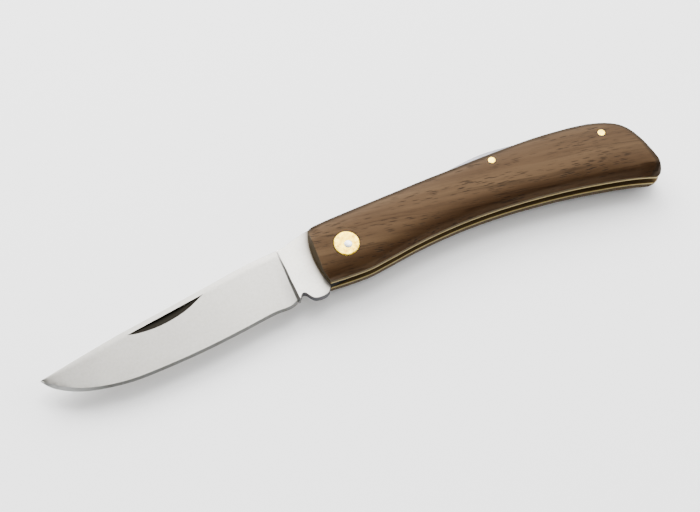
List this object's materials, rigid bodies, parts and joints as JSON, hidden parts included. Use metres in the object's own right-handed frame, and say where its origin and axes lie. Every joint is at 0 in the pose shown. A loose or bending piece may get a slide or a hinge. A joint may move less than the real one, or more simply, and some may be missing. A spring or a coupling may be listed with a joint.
{
  "type": "folding pocket knife",
  "caption": "Folding pocket knife with a broad sweeping blade, curved wooden scales on brass liners, and a back spring that holds the blade open or shut.",
  "frame": {"origin": "on the blade's pivot axis, at the end of the pivot pin that the knife rests on", "axes": "+Z along the pivot, up from the surface that the knife lies on; +X from the pivot towards the handle's butt; +Y towards the back, so the cutting edge faces -Y"},
  "size_m": [0.1944, 0.0326, 0.0125],
  "materials": {
    "blade": "satin, finely ground along the blade",
    "spring": "satin",
    "liners": "satin, slightly dulled",
    "scales": "oiled walnut, fine pores along the grain",
    "pivot": "filed flush",
    "collars": "polished",
    "spring_pins": "filed flush and polished"
  },
  "bodies": {
    "handle": {"near_liner": "liners", "far_liner": "liners", "near_scale": "scales", "far_scale": "scales", "pivot_pin": "pivot", "near_pivot_collar": "collars", "far_pivot_collar": "collars", "middle_spring_pin": "spring_pins", "end_spring_pin": "spring_pins"},
    "blade": {"blade": "blade"},
    "back_spring": {"back_spring": "spring"}
  },
  "joints": [
    {"name": "blade_pivot", "type": "hinge", "parent": "handle", "child": "blade", "pos_m": [0, 0, 0.00625], "axis": [0, 0, 1], "range_deg": [0, 170.5], "deforming": ["back_spring"]},
    {"name": "spring_flex", "type": "hinge", "parent": "handle", "child": "back_spring", "pos_m": [0.0502, 0.0112, 0.00625], "axis": [0, 0, -1], "range_deg": [0, 1], "stiffness_Nm_per_rad": 5, "deforming": ["back_spring"]}
  ]
}
